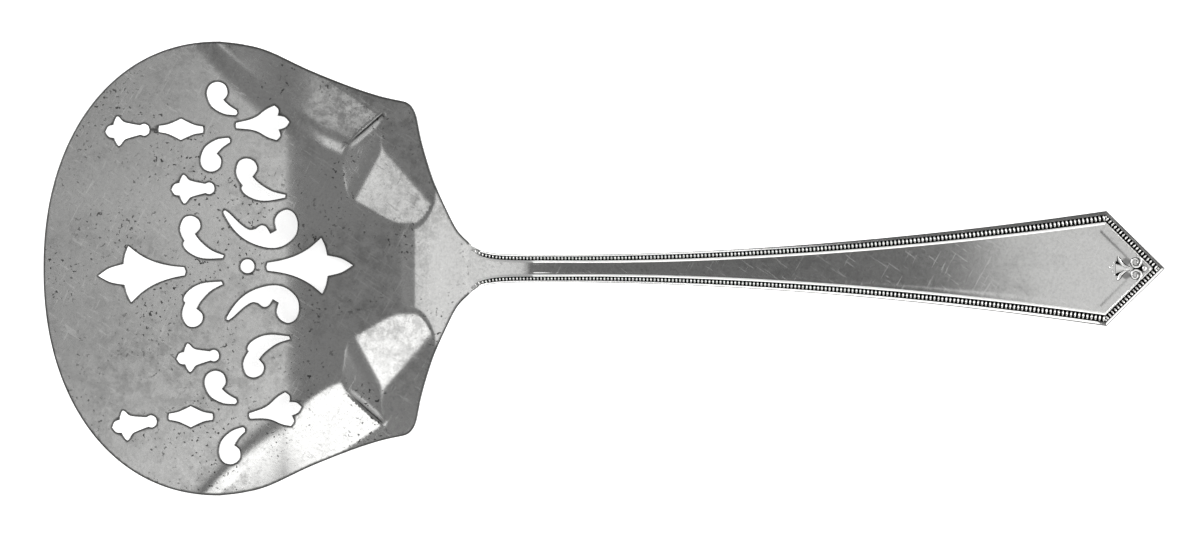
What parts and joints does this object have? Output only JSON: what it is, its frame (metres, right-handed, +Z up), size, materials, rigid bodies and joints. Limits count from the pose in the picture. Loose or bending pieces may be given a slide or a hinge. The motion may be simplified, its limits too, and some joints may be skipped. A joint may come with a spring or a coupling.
{
  "type": "cucumber server",
  "caption": "Flat pierced server: a wide round-fronted bowl with raised back corners, soldered to a beaded, tapering handle.",
  "frame": {"origin": "on the table, under the middle of the server's length and width, as it lies on its bowl with the handle's tip touching the table", "axes": "+X from the bowl's front rim to the handle's tip, +Y across, +Z up from the table"},
  "size_m": [0.1588, 0.0644, 0.0071],
  "materials": {
    "bowl_silver": "gloss",
    "solder": "satin",
    "handle_silver": "gloss"
  },
  "bodies": {
    "root": {"bowl": "bowl_silver", "solder_seam": "solder", "handle": "handle_silver"}
  },
  "joints": []
}
